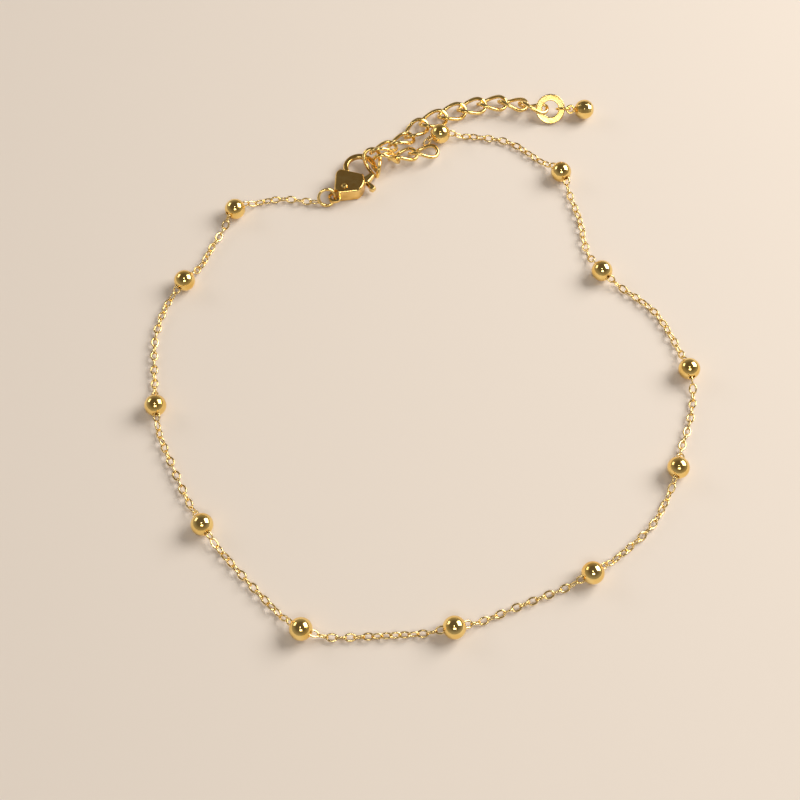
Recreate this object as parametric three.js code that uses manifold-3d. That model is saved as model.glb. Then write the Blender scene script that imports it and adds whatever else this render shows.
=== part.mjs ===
// Charm anklet lying open on a flat surface: fine cable chain with round beads along it,
// a lobster clasp with a sprung lever, and an extension chain that ends in a tag and a ball drop.
// Millimetres, +Z up, origin at the centre of the footprint on the surface.

import * as THREE from 'three';
import { mergeVertices } from 'three/addons/utils/BufferGeometryUtils.js';
import Module from 'manifold-3d';

const wasm = await Module();
wasm.setup();

// ---- Driving dimensions ----------------------------------------------------------------

const BEAD_D = 3.0;               // hollow beads on the chain, and the ball drop
const BEAD_FLAT_D = 1.1;          // flat round each threading hole
const BEAD_SEGMENTS = 14;
const BEAD_RINGS = 8;

const CHAIN_D = 1.15;             // envelope of the fine cable chain
const CHAIN_SIDES = 8;
const CHAIN_STEP = 2.9;           // length of one straight step of the envelope
const CHAIN_GAP = 0.35;           // clearance between the envelope and a bead
const CHAIN_LIFT = 2.6;           // length over which the chain rises to a bead's hole

const LINK_HALF_LENGTH = 2.15;    // extension-chain link, along the middle of its wire
const LINK_HALF_WIDTH = 1.35;
const LINK_TWIST = 0.46;          // rise and fall of the twisted oval
const LINK_WIRE_D = 0.56;
const LINK_PITCH = 3.3;
const LINK_STEPS = 20;
const LINK_SIDES = 6;
const LINK_REST_Z = 0.76;         // height of the middle of a flat-lying link

const RING_D = 2.9;               // jump ring on the clasp, outside
const RING_WIRE_D = 0.44;
const SMALL_RING_D = 2.4;         // jump ring between the tag and the drop
const SMALL_RING_WIRE_D = 0.4;
const RING_STEPS = 20;
const RING_SIDES = 6;

const TAG_D = 4.5;                // flat end ring
const TAG_HOLE_D = 2.5;
const TAG_THICKNESS = 0.5;

const CLASP_THICKNESS = 2.2;      // body of the clasp, across its two flat cheeks
const CLASP_BEVEL = 0.15;
const SLOT_LOW = 0.45;            // slot that the lever swings in
const SLOT_HIGH = 1.75;
const HOOK_LOW = 0.72;            // hook bar, between its flat sides
const HOOK_HIGH = 1.42;
const HOOK_WIDTH = 0.76;
const HOOK_RADIUS = 2.1;
const HOOK_CENTRE = [4.83, 0.62];
const LEVER_LOW = 0.65;
const LEVER_HIGH = 1.5;
const RIVET_D = 0.6;
const RIVET_HEAD_D = 0.95;
const RUNNING_GAP = 0.06;         // radial clearance round the rivet

// ---- Layout ----------------------------------------------------------------------------
// The chain's route on the surface, seen from above. Positions are measured from a drawing
// point inside the loop; FOOTPRINT moves them so that the footprint's centre is the origin.

const FOOTPRINT = [3.23, 9.16];

const BEADS = [
  [-24.2, 31.5], [-30.7, 18.8], [-33.2, -1.7], [-25.7, -19.5], [-12.4, -33.9], [6.8, -33.7],
  [24.6, -26.3], [36.9, -11.2], [39.8, 4.1], [28.9, 20.5], [24.0, 38.4], [6.1, 45.7],
];

// Points that each stretch of chain passes between its two ends.
const STRETCHES = [
  [[-13.9, 33.6], [-17.4, 34.0], [-21.0, 33.3]],
  [[-25.8, 28.4], [-27.3, 25.2], [-28.7, 21.8]],
  [[-33.1, 15.1], [-34.2, 10.0], [-34.0, 4.6]],
  [[-32.4, -5.8], [-30.3, -10.6], [-28.2, -15.1]],
  [[-23.3, -22.7], [-20.2, -26.3], [-16.4, -30.4]],
  [[-8.0, -34.7], [-3.0, -34.5], [2.4, -34.2]],
  [[11.2, -32.2], [15.6, -30.3], [20.2, -28.4]],
  [[29.2, -22.8], [32.9, -19.2], [35.2, -15.3]],
  [[37.7, -8.0], [39.2, -4.0], [40.1, 0.3]],
  [[38.3, 9.2], [36.0, 14.0], [31.9, 17.9]],
  [[27.0, 25.0], [26.4, 30.0], [25.2, 34.7]],
  [[20.8, 41.4], [16.6, 44.7], [11.6, 45.8]],
];
const CLASP_END = [-12.75, 33.35];
const EXTENSION_END = [3.7, 45.1];

// Extension chain: links that lean or stand are placed one by one, the rest follow a route.
const POSED_LINKS = [
  { name: 'hooked', x: -3.95, y: 39.9, z: 1.8, heading: -73, pitch: -21, roll: 48 },
  { name: 'upper_1', x: -2.5, y: 42.25, z: 2.25, heading: 34, pitch: -15, roll: -32 },
  { name: 'upper_2', x: 0.15, y: 44.45, z: 1.35, heading: 36, pitch: -10, roll: -28 },
  { name: 'upper_3', x: 2.45, y: 46.95, z: 0.92, heading: 48, pitch: -2, roll: -10 },
  { name: 'lower_1', x: -1.95, y: 40.7, z: 2.05, heading: 28, pitch: -33, roll: -30 },
  { name: 'lower_2', x: 0.45, y: 41.75, z: 1.13, heading: 19, pitch: -6, roll: -27 },
  { name: 'lower_3', x: 3.55, y: 42.45, z: 1.1, heading: 10, pitch: -3, roll: -26 },
];
const UPPER_ROUTE = [[5.1, 49.0], [8.5, 50.6], [13.4, 52.0], [17.1, 51.9], [20.4, 50.98]];
const UPPER_END_LEAN = -39;       // degrees, lean of the link that the tag hangs on
const UPPER_END_RISE = 0.77;

const CLASP_AT = [-8.2, 35.2];    // rivet
const CLASP_HEADING = 56;         // degrees from +X to the clasp's long axis
const TAG_AT = [23.0, 50.5];
const TAG_LEAN = 38;              // degrees, far edge raised
const DROP_AT = [28.18, 50.5];

// ---- Materials -------------------------------------------------------------------------

function gold(name, roughness) {
  const metal = new THREE.MeshStandardMaterial({ color: 0xe0b04a, metalness: 1, roughness });
  metal.name = name;
  return metal;
}

// ---- Solids ----------------------------------------------------------------------------

function weld(geometry) {
  geometry.deleteAttribute('normal');
  geometry.deleteAttribute('uv');
  return mergeVertices(geometry, 1e-4);
}

function toManifold(geometry) {
  const merged = weld(geometry);
  return new wasm.Manifold(new wasm.Mesh({
    numProp: 3,
    vertProperties: new Float32Array(merged.attributes.position.array),
    triVerts: new Uint32Array(merged.index.array),
  }));
}

function toGeometry(solid) {
  const mesh = solid.getMesh();
  const geometry = new THREE.BufferGeometry();
  geometry.setAttribute('position', new THREE.BufferAttribute(new Float32Array(mesh.vertProperties), 3));
  geometry.setIndex(new THREE.BufferAttribute(new Uint32Array(mesh.triVerts), 1));
  return geometry;
}

// A wire ring from a torus of unit radius: each point of the torus keeps its place round the
// wire while the ring's middle line is moved to the given curve.
function wireRing(middle, wireD, steps, sides) {
  const geometry = weld(new THREE.TorusGeometry(1, wireD / 2, sides, steps));
  const position = geometry.attributes.position;
  for (let i = 0; i < position.count; i += 1) {
    const x = position.getX(i);
    const y = position.getY(i);
    const turn = Math.atan2(y, x);
    const outward = Math.hypot(x, y) - 1;
    const centre = middle(turn);
    const tangent = middle(turn + 0.01).sub(middle(turn - 0.01)).normalize();
    const side = new THREE.Vector3(tangent.y, -tangent.x, 0).normalize();
    const up = new THREE.Vector3().crossVectors(side, tangent);
    centre.addScaledVector(side, outward).addScaledVector(up, position.getZ(i));
    position.setXYZ(i, centre.x, centre.y, centre.z);
  }
  return geometry;
}

function linkGeometry() {
  const middle = (turn) => new THREE.Vector3(
    LINK_HALF_LENGTH * Math.cos(turn),
    LINK_HALF_WIDTH * Math.sin(turn),
    LINK_TWIST * Math.sin(2 * turn),
  );
  return wireRing(middle, LINK_WIRE_D, LINK_STEPS, LINK_SIDES);
}

function roundRing(outsideD, wireD) {
  const radius = (outsideD - wireD) / 2;
  const middle = (turn) => new THREE.Vector3(radius * Math.cos(turn), radius * Math.sin(turn), 0);
  return wireRing(middle, wireD, RING_STEPS, RING_SIDES);
}

// A ball with a flat round each end of its axis, which runs along +Y.
function ballProfile(flatD) {
  const radius = BEAD_D / 2;
  const start = Math.asin(flatD / BEAD_D);
  const profile = [new THREE.Vector2(0, -radius * Math.cos(start))];
  for (let ring = 0; ring <= BEAD_RINGS; ring += 1) {
    const angle = start + (Math.PI - 2 * start) * ring / BEAD_RINGS;
    profile.push(new THREE.Vector2(radius * Math.sin(angle), -radius * Math.cos(angle)));
  }
  profile.push(new THREE.Vector2(0, radius * Math.cos(start)));
  return profile;
}

function ballGeometry(flatD) {
  return weld(new THREE.LatheGeometry(ballProfile(flatD), BEAD_SEGMENTS));
}

function plate(shape, low, high, bevel = 0) {
  const geometry = new THREE.ExtrudeGeometry(shape, {
    depth: high - low - 2 * bevel,
    bevelEnabled: bevel > 0,
    bevelThickness: bevel,
    bevelSize: bevel,
    bevelOffset: -bevel,
    bevelSegments: 1,
    curveSegments: 10,
  });
  geometry.translate(0, 0, low + bevel);
  return geometry;
}

function disc(radius, low, high, x = 0, y = 0) {
  const geometry = new THREE.CylinderGeometry(radius, radius, high - low, 20);
  geometry.rotateX(Math.PI / 2);
  geometry.translate(x, y, (low + high) / 2);
  return geometry;
}

// ---- Chain and beads -------------------------------------------------------------------

const BEAD_Z = BEAD_D / 2;
const CHAIN_Z = CHAIN_D / 2;
const BEAD_END = Math.sqrt(BEAD_D ** 2 - BEAD_FLAT_D ** 2) / 2;

function atFootprint([x, y], z) {
  return new THREE.Vector3(x - FOOTPRINT[0], y - FOOTPRINT[1], z);
}

// Direction of the thread through a bead, from the chain on either side of it.
function beadDirection(index) {
  const before = STRETCHES[index].at(-1);
  const afterStretch = STRETCHES[index + 1];
  const after = afterStretch ? afterStretch[0] : EXTENSION_END;
  return new THREE.Vector3(after[0] - before[0], after[1] - before[1], 0).normalize();
}

// One stretch of chain, as the envelope of its links. It lies on the surface and rises to the
// holes of the beads at its ends.
function stretchGeometry(points, startsAtBead, endsAtBead) {
  const flat = new THREE.CatmullRomCurve3(points, false, 'centripetal');
  const length = flat.getLength();
  const climb = (distance) => THREE.MathUtils.smoothstep(CHAIN_LIFT - distance, 0, CHAIN_LIFT);
  const steps = Math.max(3, Math.round(length / CHAIN_STEP));
  const samples = 3 * steps;
  const risen = flat.getSpacedPoints(samples).map((point, i) => {
    const along = length * i / samples;
    const start = startsAtBead ? climb(along) : 0;
    const end = endsAtBead ? climb(length - along) : 0;
    point.z = CHAIN_Z + (BEAD_Z - CHAIN_Z) * Math.max(start, end);
    return point;
  });
  const section = new THREE.Shape();
  section.setFromPoints(Array.from({ length: CHAIN_SIDES }, (_, i) => {
    const angle = 2 * Math.PI * (i + 0.5) / CHAIN_SIDES;
    return new THREE.Vector2(Math.cos(angle), Math.sin(angle)).multiplyScalar(CHAIN_D / 2);
  }));
  const route = new THREE.CatmullRomCurve3(risen, false, 'centripetal');
  return weld(new THREE.ExtrudeGeometry(section, { steps, extrudePath: route }));
}

// ---- Clasp -----------------------------------------------------------------------------
// Drawn with the rivet at the origin and the clasp's long axis along +X.

const EYE_AT = [-1.8, 0.5];
const EYE_D = 2.0;
const EYE_HOLE_D = 1.2;
const EYE_LOW = 0.85;
const EYE_HIGH = 1.35;

function claspBodyOutline() {
  const shape = new THREE.Shape();
  shape.moveTo(-1.6, 0.1);
  shape.lineTo(-1.3, 0.95);
  shape.lineTo(1.1, 2.4);
  shape.quadraticCurveTo(1.9, 2.75, 2.4, 2.3);
  shape.lineTo(3.5, -1.0);
  shape.lineTo(2.6, -1.85);
  shape.quadraticCurveTo(1.5, -2.5, 0.4, -2.1);
  shape.lineTo(-1.6, 0.1);
  return shape;
}

function slotOutline() {
  const shape = new THREE.Shape();
  shape.moveTo(-0.2, -0.9);
  shape.quadraticCurveTo(-0.8, -0.65, -0.8, 0);
  shape.quadraticCurveTo(-0.75, 0.9, 0.2, 0.95);
  shape.lineTo(5.5, 0.9);
  shape.lineTo(5.5, -3.2);
  shape.lineTo(2.55, -3.2);
  shape.lineTo(2.2, -1.95);
  shape.lineTo(-0.2, -0.9);
  return shape;
}

function hookOutline() {
  const [x, y] = HOOK_CENTRE;
  const inner = HOOK_RADIUS - HOOK_WIDTH / 2;
  const outer = HOOK_RADIUS + HOOK_WIDTH / 2;
  const root = THREE.MathUtils.degToRad(150);
  const tip = THREE.MathUtils.degToRad(-50);
  const shape = new THREE.Shape();
  shape.moveTo(1.2, 1.7);
  shape.lineTo(2.2, 1.4);
  shape.lineTo(x + inner * Math.cos(root), y + inner * Math.sin(root));
  shape.absarc(x, y, inner, root, tip, true);
  shape.lineTo(5.5, -1.75);
  shape.lineTo(5.35, -2.3);
  shape.lineTo(5.85, -2.3);
  shape.quadraticCurveTo(6.3, -1.8, x + outer * Math.cos(tip), y + outer * Math.sin(tip));
  shape.absarc(x, y, outer, tip, root, false);
  shape.lineTo(1.2, 1.7);
  return shape;
}

function claspBodyGeometry() {
  const body = toManifold(plate(claspBodyOutline(), 0, CLASP_THICKNESS, CLASP_BEVEL));
  const hook = toManifold(plate(hookOutline(), HOOK_LOW, HOOK_HIGH, 0.12));
  const eye = toManifold(disc(EYE_D / 2, EYE_LOW, EYE_HIGH, ...EYE_AT));
  const eyeHole = toManifold(disc(EYE_HOLE_D / 2, -1, CLASP_THICKNESS + 1, ...EYE_AT));
  const slot = toManifold(plate(slotOutline(), SLOT_LOW, SLOT_HIGH));
  const rivetHole = toManifold(disc(RIVET_D / 2 + RUNNING_GAP, -1, CLASP_THICKNESS + 1));
  return toGeometry(body.subtract(slot).add(hook).add(eye).subtract(eyeHole).subtract(rivetHole));
}

function leverOutline() {
  const shape = new THREE.Shape();
  shape.moveTo(0.3, 0.62);
  shape.quadraticCurveTo(-0.62, 0.64, -0.62, 0);
  shape.quadraticCurveTo(-0.6, -0.6, -0.1, -0.72);
  shape.lineTo(2.35, -1.55);
  shape.lineTo(2.75, -2.0);
  shape.lineTo(2.45, -2.75);
  shape.lineTo(2.15, -2.95);
  shape.lineTo(2.2, -3.55);
  shape.lineTo(2.9, -3.65);
  shape.lineTo(3.1, -3.15);
  shape.lineTo(3.2, -2.15);
  shape.lineTo(4.75, -2.2);
  shape.lineTo(4.98, -1.5);
  shape.lineTo(2.4, -0.6);
  shape.lineTo(0.3, 0.62);
  return shape;
}

function leverGeometry() {
  const lever = toManifold(plate(leverOutline(), LEVER_LOW, LEVER_HIGH, 0.12));
  const hole = toManifold(disc(RIVET_D / 2 + RUNNING_GAP, -1, CLASP_THICKNESS + 1));
  return toGeometry(lever.subtract(hole));
}

// Domed head above the top cheek, and a plain pin through both cheeks.
function rivetGeometry() {
  const pin = RIVET_D / 2;
  const head = RIVET_HEAD_D / 2;
  const under = CLASP_THICKNESS + 0.06;
  const profile = [
    new THREE.Vector2(0, 0.06),
    new THREE.Vector2(pin, 0.06),
    new THREE.Vector2(pin, under),
    new THREE.Vector2(head, under),
    new THREE.Vector2(0.75 * head, under + 0.16),
    new THREE.Vector2(0, under + 0.24),
  ];
  const geometry = new THREE.LatheGeometry(profile, 16);
  geometry.rotateX(Math.PI / 2);
  return weld(geometry);
}

// ---- Tag and drop ----------------------------------------------------------------------

function tagGeometry() {
  const shape = new THREE.Shape();
  shape.absarc(0, 0, TAG_D / 2, 0, 2 * Math.PI, false);
  const hole = new THREE.Path();
  hole.absarc(0, 0, TAG_HOLE_D / 2, 0, 2 * Math.PI, true);
  shape.holes.push(hole);
  return plate(shape, -TAG_THICKNESS / 2, TAG_THICKNESS / 2, 0.08);
}

const DROP_EYE_D = 1.5;
const DROP_EYE_WIRE_D = 0.4;

// Ball with a small wire eye soldered to it, the eye towards -X.
function dropGeometry() {
  const ball = toManifold(ballGeometry(0.4).rotateZ(Math.PI / 2));
  const eye = roundRing(DROP_EYE_D, DROP_EYE_WIRE_D);
  eye.translate(-(BEAD_D + DROP_EYE_D) / 2 + 0.15, 0, 0);
  return toGeometry(ball.add(toManifold(eye)));
}

// ---- Assembly --------------------------------------------------------------------------

const anklet = new THREE.Group();
anklet.name = 'charm_anklet';

function add(name, geometry, roughness, parent = anklet) {
  const mesh = new THREE.Mesh(geometry, gold(name, roughness));
  mesh.name = name;
  parent.add(mesh);
  return mesh;
}

// Turns a piece by its heading about the vertical, then up by its pitch, then about its length.
function pose(mesh, place, heading, pitch = 0, roll = 0) {
  const radians = THREE.MathUtils.degToRad;
  mesh.rotation.set(radians(roll), -radians(pitch), radians(heading), 'ZYX');
  mesh.position.copy(place);
}

const pad = (number) => String(number).padStart(2, '0');

function addBeads() {
  BEADS.forEach((at, i) => {
    const bead = add(`bead_${pad(i + 1)}`, ballGeometry(BEAD_FLAT_D), 0.14);
    bead.quaternion.setFromUnitVectors(new THREE.Vector3(0, 1, 0), beadDirection(i));
    bead.position.copy(atFootprint(at, BEAD_Z));
  });
}

function addChain() {
  STRETCHES.concat([[]]).forEach((between, i) => {
    const points = between.map((at) => atFootprint(at, 0));
    const startsAtBead = i > 0;
    const endsAtBead = i < BEADS.length;
    const reach = BEAD_END + CHAIN_GAP;
    if (startsAtBead) {
      points.unshift(atFootprint(BEADS[i - 1], 0).addScaledVector(beadDirection(i - 1), reach));
    } else {
      points.unshift(atFootprint(CLASP_END, 0));
    }
    if (endsAtBead) {
      points.push(atFootprint(BEADS[i], 0).addScaledVector(beadDirection(i), -reach));
    } else {
      points.push(atFootprint(EXTENSION_END, 0));
    }
    add(`chain_${pad(i + 1)}`, stretchGeometry(points, startsAtBead, endsAtBead), 0.25);
  });
}

function addExtensionChain() {
  POSED_LINKS.forEach(({ name, x, y, z, heading, pitch, roll }) => {
    const link = add(`extension_link_${name}`, linkGeometry(), 0.2);
    pose(link, atFootprint([x, y], z), heading, pitch, roll);
  });
  const route = new THREE.CatmullRomCurve3(UPPER_ROUTE.map((at) => atFootprint(at, LINK_REST_Z)));
  const count = Math.round(route.getLength() / LINK_PITCH) + 1;
  for (let i = 0; i < count; i += 1) {
    const place = route.getPointAt(i / (count - 1));
    const ahead = route.getTangentAt(i / (count - 1));
    const link = add(`extension_link_upper_${i + 4}`, linkGeometry(), 0.2);
    const leaning = (i / (count - 1)) ** 2;
    place.z += UPPER_END_RISE * leaning;
    pose(link, place, THREE.MathUtils.radToDeg(Math.atan2(ahead.y, ahead.x)), 0, UPPER_END_LEAN * leaning);
  }
}

function addClasp() {
  const clasp = new THREE.Group();
  pose(clasp, atFootprint(CLASP_AT, 0), CLASP_HEADING);
  anklet.add(clasp);
  add('clasp_body', claspBodyGeometry(), 0.18, clasp);
  add('clasp_lever', leverGeometry(), 0.18, clasp);
  add('clasp_rivet', rivetGeometry(), 0.15, clasp);
  const ring = add('clasp_jump_ring', roundRing(RING_D, RING_WIRE_D), 0.2);
  pose(ring, atFootprint([-10.8, 33.8], 1.25), 15, 0, 56);
}

function addEnds() {
  const tag = add('end_tag', tagGeometry(), 0.2);
  pose(tag, atFootprint(TAG_AT, 1.62), 0, 0, TAG_LEAN);
  const dropRing = add('drop_jump_ring', roundRing(SMALL_RING_D, SMALL_RING_WIRE_D), 0.2);
  pose(dropRing, atFootprint([24.98, 50.5], 1.6), 0, 0, TAG_LEAN - 90);
  const drop = add('ball_drop', dropGeometry(), 0.14);
  pose(drop, atFootprint(DROP_AT, BEAD_Z), 0, 0, TAG_LEAN);
}

addBeads();
addChain();
addExtensionChain();
addClasp();
addEnds();

export default anklet;
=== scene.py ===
"""Looks of the charm anklet: gold chain, beads, clasp and extension chain on a pale floor.

Everything is in metres in the CAD model's frame, +Z up, the floor at z = 0.
"""

import math

import bmesh
import bpy
import numpy as np
from mathutils import Matrix, Vector


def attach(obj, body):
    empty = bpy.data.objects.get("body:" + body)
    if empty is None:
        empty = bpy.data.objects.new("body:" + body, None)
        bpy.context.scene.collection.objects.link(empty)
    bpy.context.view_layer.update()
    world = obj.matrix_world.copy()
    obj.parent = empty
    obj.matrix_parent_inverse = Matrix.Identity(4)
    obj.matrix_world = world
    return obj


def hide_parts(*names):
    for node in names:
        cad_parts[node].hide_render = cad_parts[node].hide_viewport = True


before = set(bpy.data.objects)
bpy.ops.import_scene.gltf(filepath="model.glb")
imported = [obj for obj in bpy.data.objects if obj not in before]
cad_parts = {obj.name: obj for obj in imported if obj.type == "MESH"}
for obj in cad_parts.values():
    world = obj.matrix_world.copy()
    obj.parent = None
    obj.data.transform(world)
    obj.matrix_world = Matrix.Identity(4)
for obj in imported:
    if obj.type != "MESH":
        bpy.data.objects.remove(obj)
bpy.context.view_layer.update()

MM = 0.001
ROOT = "anklet"
LEVER = "clasp_lever"

# ---- Sizes, in metres --------------------------------------------------------------------
BEAD_R = 1.5 * MM
BEAD_HOLE_R = 0.42 * MM
BEAD_WALL = 0.22 * MM
CABLE_HALF_LENGTH = 0.68 * MM      # fine cable link, along the middle of its wire
CABLE_HALF_WIDTH = 0.44 * MM
CABLE_WIRE_R = 0.125 * MM
CABLE_PITCH = 1.13 * MM
CHAIN_REST_Z = 0.575 * MM
CHAIN_LIFT = 2.6 * MM
CURB_HALF_LENGTH = 2.15 * MM       # extension-chain link
CURB_HALF_WIDTH = 1.35 * MM
CURB_TWIST = 0.46 * MM
CURB_WIRE_R = 0.28 * MM

# ---- The chain's route on the floor, in metres, as the CAD model has it --------------------
FOOTPRINT = Vector((3.23, 9.16, 0))
BEADS = [
    (-24.2, 31.5), (-30.7, 18.8), (-33.2, -1.7), (-25.7, -19.5), (-12.4, -33.9), (6.8, -33.7),
    (24.6, -26.3), (36.9, -11.2), (39.8, 4.1), (28.9, 20.5), (24.0, 38.4), (6.1, 45.7),
]
STRETCHES = [
    [(-13.9, 33.6), (-17.4, 34.0), (-21.0, 33.3)],
    [(-25.8, 28.4), (-27.3, 25.2), (-28.7, 21.8)],
    [(-33.1, 15.1), (-34.2, 10.0), (-34.0, 4.6)],
    [(-32.4, -5.8), (-30.3, -10.6), (-28.2, -15.1)],
    [(-23.3, -22.7), (-20.2, -26.3), (-16.4, -30.4)],
    [(-8.0, -34.7), (-3.0, -34.5), (2.4, -34.2)],
    [(11.2, -32.2), (15.6, -30.3), (20.2, -28.4)],
    [(29.2, -22.8), (32.9, -19.2), (35.2, -15.3)],
    [(37.7, -8.0), (39.2, -4.0), (40.1, 0.3)],
    [(38.3, 9.2), (36.0, 14.0), (31.9, 17.9)],
    [(27.0, 25.0), (26.4, 30.0), (25.2, 34.7)],
    [(20.8, 41.4), (16.6, 44.7), (11.6, 45.8)],
]
CLASP_END = (-12.0, 33.45)
EXTENSION_END = (3.75, 44.2)


def on_floor(point, z=0.0):
    """A point of the layout, in metres in the model's frame."""
    return (Vector((point[0], point[1], 0)) - FOOTPRINT) * MM + Vector((0, 0, z))


# ---- Camera --------------------------------------------------------------------------------
AIM = on_floor((0, 0))
CAMERA_HEIGHT = 178.1 * MM
CAMERA_ELEVATION = math.radians(60)
LENS_MM = 67.5

camera_data = bpy.data.cameras.new("camera")
camera_data.lens = LENS_MM
camera_data.sensor_width = 36
camera_data.clip_start = 0.01
camera = bpy.data.objects.new("camera", camera_data)
camera.location = AIM + Vector((0, -CAMERA_HEIGHT / math.tan(CAMERA_ELEVATION), CAMERA_HEIGHT))
camera.rotation_euler = (math.pi / 2 - CAMERA_ELEVATION, 0, 0)
bpy.context.scene.collection.objects.link(camera)
bpy.context.scene.camera = camera


# ---- Materials -------------------------------------------------------------------------------
def plating_group():
    """Small uneven patches of plating: a tone mask, a roughness and a slightly rippled normal."""
    group = bpy.data.node_groups.new("plating", "ShaderNodeTree")
    face = group.interface
    scale = face.new_socket("Scale", in_out="INPUT", socket_type="NodeSocketFloat")
    scale.default_value = 900
    rough = face.new_socket("Base Roughness", in_out="INPUT", socket_type="NodeSocketFloat")
    rough.default_value = 0.12
    ripple = face.new_socket("Ripple", in_out="INPUT", socket_type="NodeSocketFloat")
    ripple.default_value = 0.2
    light = face.new_socket("Light", in_out="INPUT", socket_type="NodeSocketColor")
    light.default_value = (0.95, 0.75, 0.36, 1)
    deep = face.new_socket("Deep", in_out="INPUT", socket_type="NodeSocketColor")
    deep.default_value = (0.75, 0.48, 0.14, 1)
    face.new_socket("Color", in_out="OUTPUT", socket_type="NodeSocketColor")
    face.new_socket("Roughness", in_out="OUTPUT", socket_type="NodeSocketFloat")
    face.new_socket("Normal", in_out="OUTPUT", socket_type="NodeSocketVector")
    nodes, links = group.nodes, group.links
    enter = nodes.new("NodeGroupInput")
    leave = nodes.new("NodeGroupOutput")
    place = nodes.new("ShaderNodeTexCoord")
    patches = nodes.new("ShaderNodeTexNoise")
    patches.inputs["Detail"].default_value = 3
    links.new(place.outputs["Object"], patches.inputs["Vector"])
    links.new(enter.outputs["Scale"], patches.inputs["Scale"])
    tone = nodes.new("ShaderNodeMix")
    tone.data_type = "RGBA"
    spread = nodes.new("ShaderNodeMapRange")
    spread.inputs["From Min"].default_value = 0.35
    spread.inputs["From Max"].default_value = 0.7
    links.new(patches.outputs["Fac"], spread.inputs["Value"])
    links.new(spread.outputs["Result"], tone.inputs["Factor"])
    links.new(enter.outputs["Light"], tone.inputs["A"])
    links.new(enter.outputs["Deep"], tone.inputs["B"])
    rougher = nodes.new("ShaderNodeMath")
    rougher.operation = "MULTIPLY_ADD"
    rougher.inputs[1].default_value = 0.08
    links.new(spread.outputs["Result"], rougher.inputs[0])
    links.new(enter.outputs["Base Roughness"], rougher.inputs[2])
    bump = nodes.new("ShaderNodeBump")
    bump.inputs["Distance"].default_value = 0.00003
    links.new(enter.outputs["Ripple"], bump.inputs["Strength"])
    links.new(patches.outputs["Fac"], bump.inputs["Height"])
    links.new(tone.outputs["Result"], leave.inputs["Color"])
    links.new(rougher.outputs["Value"], leave.inputs["Roughness"])
    links.new(bump.outputs["Normal"], leave.inputs["Normal"])
    return group


PLATING = plating_group()


def gold(name, light, deep, roughness, ripple, scale):
    material = bpy.data.materials.new(name)
    material.use_nodes = True
    nodes, links = material.node_tree.nodes, material.node_tree.links
    metal = nodes["Principled BSDF"]
    metal.inputs["Metallic"].default_value = 1
    plating = nodes.new("ShaderNodeGroup")
    plating.node_tree = PLATING
    plating.inputs["Scale"].default_value = scale
    plating.inputs["Base Roughness"].default_value = roughness
    plating.inputs["Ripple"].default_value = ripple
    plating.inputs["Light"].default_value = (*light, 1)
    plating.inputs["Deep"].default_value = (*deep, 1)
    links.new(plating.outputs["Color"], metal.inputs["Base Color"])
    links.new(plating.outputs["Roughness"], metal.inputs["Roughness"])
    links.new(plating.outputs["Normal"], metal.inputs["Normal"])
    return material


polished_gold = gold("polished_gold", (1.0, 0.76, 0.30), (0.90, 0.58, 0.15), 0.07, 0.25, 500)
chain_gold = gold("chain_gold", (1.0, 0.79, 0.38), (0.86, 0.59, 0.20), 0.16, 0.3, 1800)
link_gold = gold("link_gold", (1.0, 0.77, 0.32), (0.88, 0.58, 0.16), 0.13, 0.35, 900)
clasp_gold = gold("clasp_gold", (0.96, 0.68, 0.25), (0.76, 0.46, 0.12), 0.15, 0.4, 700)


# ---- Making meshes ---------------------------------------------------------------------------
def add_piece(name, vertices, faces, material, body, replaced=()):
    mesh = bpy.data.meshes.new(name)
    mesh.from_pydata([tuple(v) for v in vertices], [], faces)
    mesh.update()
    mesh.shade_smooth()
    piece = bpy.data.objects.new(name, mesh)
    bpy.context.scene.collection.objects.link(piece)
    finish_piece(piece, material, body, replaced)
    return piece


def finish_piece(piece, material, body, replaced):
    piece.data.materials.clear()
    piece.data.materials.append(material)
    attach(piece, body)
    if replaced:
        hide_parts(*replaced)


def grid_faces(rows, columns, first=0):
    """Faces of a grid that closes on itself both ways, such as a ring of wire."""
    faces = []
    for row in range(rows):
        after = (row + 1) % rows
        for column in range(columns):
            beside = (column + 1) % columns
            faces.append((
                first + row * columns + column,
                first + after * columns + column,
                first + after * columns + beside,
                first + row * columns + beside,
            ))
    return faces


def wire_ring(half_length, half_width, twist, wire_r, steps, sides, flat=0.0):
    """Vertices of a closed wire whose middle is a twisted oval; flat cuts its top and bottom."""
    turn = np.linspace(0, 2 * math.pi, steps, endpoint=False)
    middle = np.stack([half_length * np.cos(turn), half_width * np.sin(turn), twist * np.sin(2 * turn)], 1)
    along = np.stack([-half_length * np.sin(turn), half_width * np.cos(turn), 2 * twist * np.cos(2 * turn)], 1)
    along /= np.linalg.norm(along, axis=1)[:, None]
    outward = np.stack([along[:, 1], -along[:, 0], np.zeros(steps)], 1)
    outward /= np.linalg.norm(outward, axis=1)[:, None]
    up = np.cross(outward, along)
    angle = np.linspace(0, 2 * math.pi, sides, endpoint=False)
    rise = np.clip(np.sin(angle), -1 + flat, 1 - flat)
    ring = outward[:, None] * np.cos(angle)[None, :, None] + up[:, None] * rise[None, :, None]
    return (middle[:, None] + wire_r * ring).reshape(-1, 3)


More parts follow.
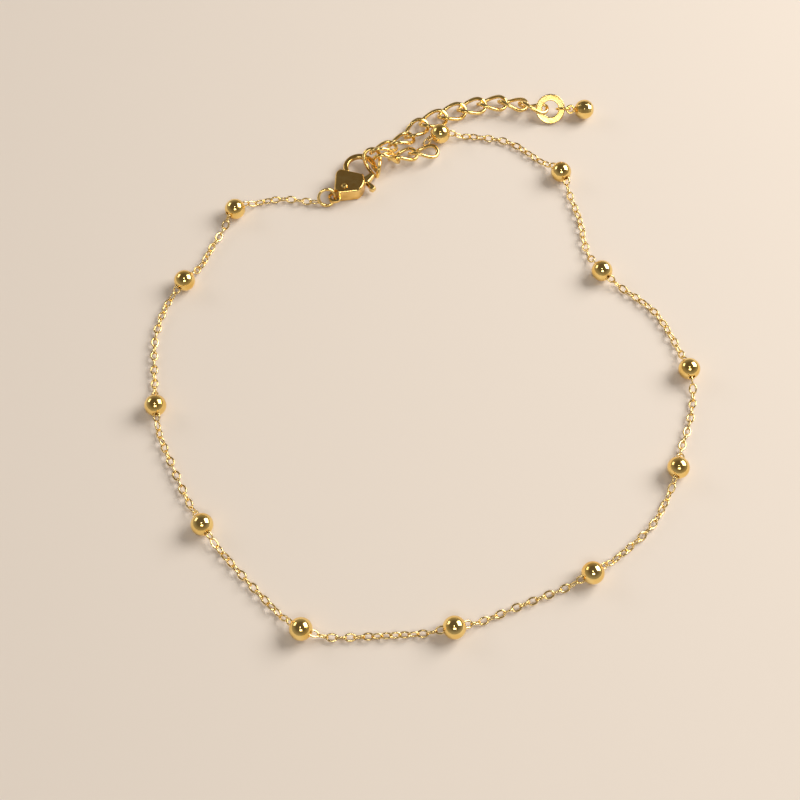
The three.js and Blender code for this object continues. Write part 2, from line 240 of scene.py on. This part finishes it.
def lathe(profile, segments):
    """Turns a list of (radius, height) round +Z into vertices and faces; radius 0 is one point."""
    vertices = []
    rings = []
    for radius, height in profile:
        if radius <= 0:
            rings.append([len(vertices)])
            vertices.append((0, 0, height))
            continue
        rings.append(list(range(len(vertices), len(vertices) + segments)))
        for i in range(segments):
            turn = 2 * math.pi * i / segments
            vertices.append((radius * math.cos(turn), radius * math.sin(turn), height))
    faces = []
    for low, high in zip(rings, rings[1:]):
        for i in range(segments):
            j = (i + 1) % segments
            if len(low) == 1:
                faces.append((low[0], high[j], high[i]))
            elif len(high) == 1:
                faces.append((low[i], low[j], high[0]))
            else:
                faces.append((low[i], low[j], high[j], high[i]))
    return np.array(vertices), faces


def turned(vertices, matrix):
    rotation = np.array(matrix.to_3x3())
    return vertices @ rotation.T + np.array(matrix.translation)


def node_axes(node):
    """Place of a CAD piece: its centre and its long, wide and thin directions."""
    points = np.array([v.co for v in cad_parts[node].data.vertices])
    points = np.unique(points.round(8), axis=0)
    centre = (points.min(axis=0) + points.max(axis=0)) / 2
    centre = points.mean(axis=0)
    _, _, axes = np.linalg.svd(points - centre, full_matrices=False)
    long, wide = axes[0], axes[1]
    thin = np.cross(long, wide)
    matrix = Matrix([[*row] for row in np.stack([long, wide, thin], 1)]).to_4x4()
    matrix.translation = Vector(centre)
    return matrix


# ---- Beads -----------------------------------------------------------------------------------
def bead_direction(index):
    before = Vector((*STRETCHES[index][-1], 0))
    after = STRETCHES[index + 1][0] if index + 1 < len(STRETCHES) else EXTENSION_END
    return (Vector((*after, 0)) - before).normalized()


def bead_profile():
    """Outside from one hole to the other, rolled lips, then the inside of the hollow shell."""
    lip = 0.09 * MM
    start = math.asin((BEAD_HOLE_R + lip) / BEAD_R)
    profile = []
    for i in range(33):
        angle = start + (math.pi - 2 * start) * i / 32
        profile.append((BEAD_R * math.sin(angle), -BEAD_R * math.cos(angle)))
    end = BEAD_R * math.cos(start)
    profile.append((BEAD_HOLE_R + 0.3 * lip, end - 0.25 * lip))
    profile.append((BEAD_HOLE_R, end - lip))
    inner = BEAD_R - BEAD_WALL
    hole = math.asin(BEAD_HOLE_R / inner)
    for i in range(13):
        angle = hole + (math.pi - 2 * hole) * i / 12
        profile.append((inner * math.sin(angle), inner * math.cos(angle)))
    profile.append((BEAD_HOLE_R, -end + lip))
    profile.append((BEAD_HOLE_R + 0.3 * lip, -end + 0.25 * lip))
    profile.append(profile[0])
    return profile


def make_beads():
    vertices, faces = lathe(bead_profile(), 48)
    for i, place in enumerate(BEADS):
        turn = Vector((0, 0, 1)).rotation_difference(bead_direction(i)).to_matrix().to_4x4()
        turn.translation = on_floor(place, BEAD_R)
        node = f"bead_{i + 1:02d}"
        bead = add_piece(f"{node}_shell", turned(vertices, turn), faces, polished_gold, ROOT,
                         [node])
        merge_doubles(bead)


def merge_doubles(piece):
    work = bmesh.new()
    work.from_mesh(piece.data)
    bmesh.ops.remove_doubles(work, verts=work.verts, dist=1e-7)
    bmesh.ops.recalc_face_normals(work, faces=work.faces)
    work.to_mesh(piece.data)
    work.free()
    piece.data.shade_smooth()


# ---- Fine cable chain --------------------------------------------------------------------------
def smooth_route(points, samples=240):
    """A smooth curve through the points, as closely spaced points."""
    curve = bpy.data.curves.new("route", "CURVE")
    route = [points[0] * 2 - points[1]] + points + [points[-1] * 2 - points[-2]]
    dense = []
    for a, b, c, d in zip(route, route[1:], route[2:], route[3:]):
        for i in range(samples // 4):
            t = i / (samples // 4)
            dense.append(0.5 * ((2 * b) + (c - a) * t + (2 * a - 5 * b + 4 * c - d) * t * t
                                + (3 * b - a - 3 * c + d) * t ** 3))
    dense.append(points[-1])
    bpy.data.curves.remove(curve)
    return np.array(dense)


def smoothstep(x):
    x = min(1.0, max(0.0, x))
    return x * x * (3 - 2 * x)


def cable_links(points, starts_at_bead, ends_at_bead, base_roll, drift):
    """Joined links along a route: each turned a quarter round from the last."""
    dense = smooth_route(points)
    steps = np.linalg.norm(np.diff(dense, axis=0), axis=1)
    travelled = np.concatenate([[0], np.cumsum(steps)])
    length = travelled[-1]
    count = max(2, round((length - 0.4 * MM) / CABLE_PITCH))
    pitch = (length - 0.2 * MM) / count
    vertices, faces = [], []
    ring = wire_ring(CABLE_HALF_LENGTH, CABLE_HALF_WIDTH, 0, CABLE_WIRE_R, 28, 10, flat=0.15)

    def at(distance):
        spot = np.array([np.interp(distance, travelled, dense[:, k]) for k in range(3)])
        rise = 0.0
        if starts_at_bead:
            rise = max(rise, smoothstep((CHAIN_LIFT - distance) / CHAIN_LIFT))
        if ends_at_bead:
            rise = max(rise, smoothstep((CHAIN_LIFT - (length - distance)) / CHAIN_LIFT))
        spot[2] = CHAIN_REST_Z + (BEAD_R - CHAIN_REST_Z) * rise
        return Vector(spot)

    for i in range(count):
        distance = 0.1 * MM + pitch * (i + 0.5)
        centre = at(distance)
        ahead = (at(distance + 0.3 * pitch) - at(distance - 0.3 * pitch)).normalized()
        side = Vector((0, 0, 1)).cross(ahead).normalized()
        up = ahead.cross(side)
        roll = base_roll + drift * math.sin(0.55 * i + base_roll) + (math.pi / 2 if i % 2 else 0)
        wide = side * math.cos(roll) + up * math.sin(roll)
        thin = ahead.cross(wide)
        place = Matrix((ahead, wide, thin)).transposed().to_4x4()
        place.translation = centre
        first = sum(len(v) for v in vertices)
        vertices.append(turned(ring, place))
        faces += grid_faces(28, 10, first)
    return np.concatenate(vertices), faces


def make_chain():
    reach = math.sqrt(BEAD_R ** 2 - (0.55 * MM) ** 2) - 0.35 * MM
    for i in range(len(BEADS) + 1):
        starts_at_bead = i > 0
        ends_at_bead = i < len(BEADS)
        points = [on_floor(p) for p in (STRETCHES[i] if ends_at_bead else [])]
        if starts_at_bead:
            points.insert(0, on_floor(BEADS[i - 1]) + bead_direction(i - 1) * reach)
        else:
            points.insert(0, on_floor(CLASP_END))
        if ends_at_bead:
            points.append(on_floor(BEADS[i]) - bead_direction(i) * reach)
        else:
            points.append(on_floor(EXTENSION_END))
        node = f"chain_{i + 1:02d}"
        roll = 0.5 * math.sin(2.1 * i) + 0.35
        vertices, faces = cable_links(points, starts_at_bead, ends_at_bead, roll, 0.35)
        add_piece(f"{node}_links", vertices, faces, chain_gold, ROOT, [node])


# ---- Extension chain, rings, tag and drop --------------------------------------------------------
def make_curb_links():
    ring = wire_ring(CURB_HALF_LENGTH, CURB_HALF_WIDTH, CURB_TWIST, CURB_WIRE_R, 72, 20, flat=0.12)
    for node in [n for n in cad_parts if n.startswith("extension_link")]:
        add_piece(f"{node}_wire", turned(ring, node_axes(node)), grid_faces(72, 20), link_gold, ROOT,
                  [node])


def make_round_ring(node, outside_d, wire_d):
    radius = (outside_d - wire_d) / 2
    ring = wire_ring(radius, radius, 0, wire_d / 2, 72, 18)
    add_piece(f"{node}_wire", turned(ring, node_axes(node)), grid_faces(72, 18), link_gold, ROOT, [node])


def rounded_copy(node, voxel, smooth_steps, material, body):
    """A cast piece: the CAD solid with its edges rounded over."""
    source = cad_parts[node]
    piece = bpy.data.objects.new(f"{node}_cast", source.data.copy())
    bpy.context.scene.collection.objects.link(piece)
    remesh = piece.modifiers.new("remesh", "REMESH")
    remesh.mode = "VOXEL"
    remesh.voxel_size = voxel
    soften = piece.modifiers.new("soften", "SMOOTH")
    soften.factor = 0.5
    soften.iterations = smooth_steps
    apply_modifiers(piece)
    piece.data.shade_smooth()
    finish_piece(piece, material, body, [node])
    return piece


def apply_modifiers(piece):
    graph = bpy.context.evaluated_depsgraph_get()
    shaped = bpy.data.meshes.new_from_object(piece.evaluated_get(graph))
    piece.modifiers.clear()
    piece.data = shaped


def make_clasp():
    rounded_copy("clasp_body", 0.05 * MM, 5, clasp_gold, ROOT)
    rounded_copy("clasp_lever", 0.05 * MM, 5, link_gold, LEVER)
    rounded_copy("clasp_rivet", 0.03 * MM, 5, polished_gold, ROOT)


def make_ends():
    rounded_copy("end_tag", 0.05 * MM, 4, link_gold, ROOT)
    rounded_copy("ball_drop", 0.05 * MM, 8, polished_gold, ROOT)


# ---- Floor and light -----------------------------------------------------------------------------
def make_floor():
    mesh = bpy.data.meshes.new("floor")
    half = 1.5
    mesh.from_pydata([(-half, -half, 0), (half, -half, 0), (half, half, 0), (-half, half, 0)], [], [(0, 1, 2, 3)])
    floor = bpy.data.objects.new("floor", mesh)
    bpy.context.scene.collection.objects.link(floor)
    material = bpy.data.materials.new("floor")
    material.use_nodes = True
    paper = material.node_tree.nodes["Principled BSDF"]
    paper.inputs["Base Color"].default_value = (0.80, 0.72, 0.64, 1)
    paper.inputs["Roughness"].default_value = 0.9
    paper.inputs["Specular IOR Level"].default_value = 0.1
    mesh.materials.append(material)


def area_light(name, place, aim, size, power, colour):
    data = bpy.data.lights.new(name, "AREA")
    data.shape = "RECTANGLE"
    data.size, data.size_y = size
    data.energy = power
    data.color = colour
    lamp = bpy.data.objects.new(name, data)
    lamp.location = place
    lamp.rotation_euler = (Vector(aim) - Vector(place)).to_track_quat("-Z", "Y").to_euler()
    bpy.context.scene.collection.objects.link(lamp)


def make_light():
    area_light("window", (0.40, 0.20, 0.36), (0, 0, 0), (0.42, 0.34), 3.6, (1, 0.97, 0.93))
    area_light("fill", (-0.50, 0.30, 0.30), (0, 0, 0), (0.30, 0.20), 0.5, (1, 0.96, 0.92))
    area_light("glint", (-0.02, -0.10, 0.48), (0, 0, 0), (0.04, 0.04), 0.12, (1, 0.98, 0.95))
    area_light("front", (0.02, -0.26, 0.33), (0.02, 0.04, 0), (0.16, 0.10), 0.3, (1, 0.97, 0.92))
    world = bpy.data.worlds.new("room")
    world.use_nodes = True
    nodes, links = world.node_tree.nodes, world.node_tree.links
    sky = nodes["Background"]
    place = nodes.new("ShaderNodeTexCoord")
    split = nodes.new("ShaderNodeSeparateXYZ")
    ramp = nodes.new("ShaderNodeValToRGB")
    ramp.color_ramp.elements[0].position = 0.0
    ramp.color_ramp.elements[0].color = (0.66, 0.60, 0.53, 1)
    ramp.color_ramp.elements[1].position = 0.75
    ramp.color_ramp.elements[1].color = (0.20, 0.17, 0.14, 1)
    links.new(place.outputs["Generated"], split.inputs["Vector"])
    links.new(split.outputs["Z"], ramp.inputs["Fac"])
    links.new(ramp.outputs["Color"], sky.inputs["Color"])
    sky.inputs["Strength"].default_value = 0.62
    bpy.context.scene.world = world
    bpy.context.scene.view_settings.view_transform = "Standard"


make_beads()
make_chain()
make_curb_links()
make_round_ring("clasp_jump_ring", 2.9 * MM, 0.44 * MM)
make_round_ring("drop_jump_ring", 2.4 * MM, 0.4 * MM)
make_clasp()
make_ends()
make_floor()
make_light()
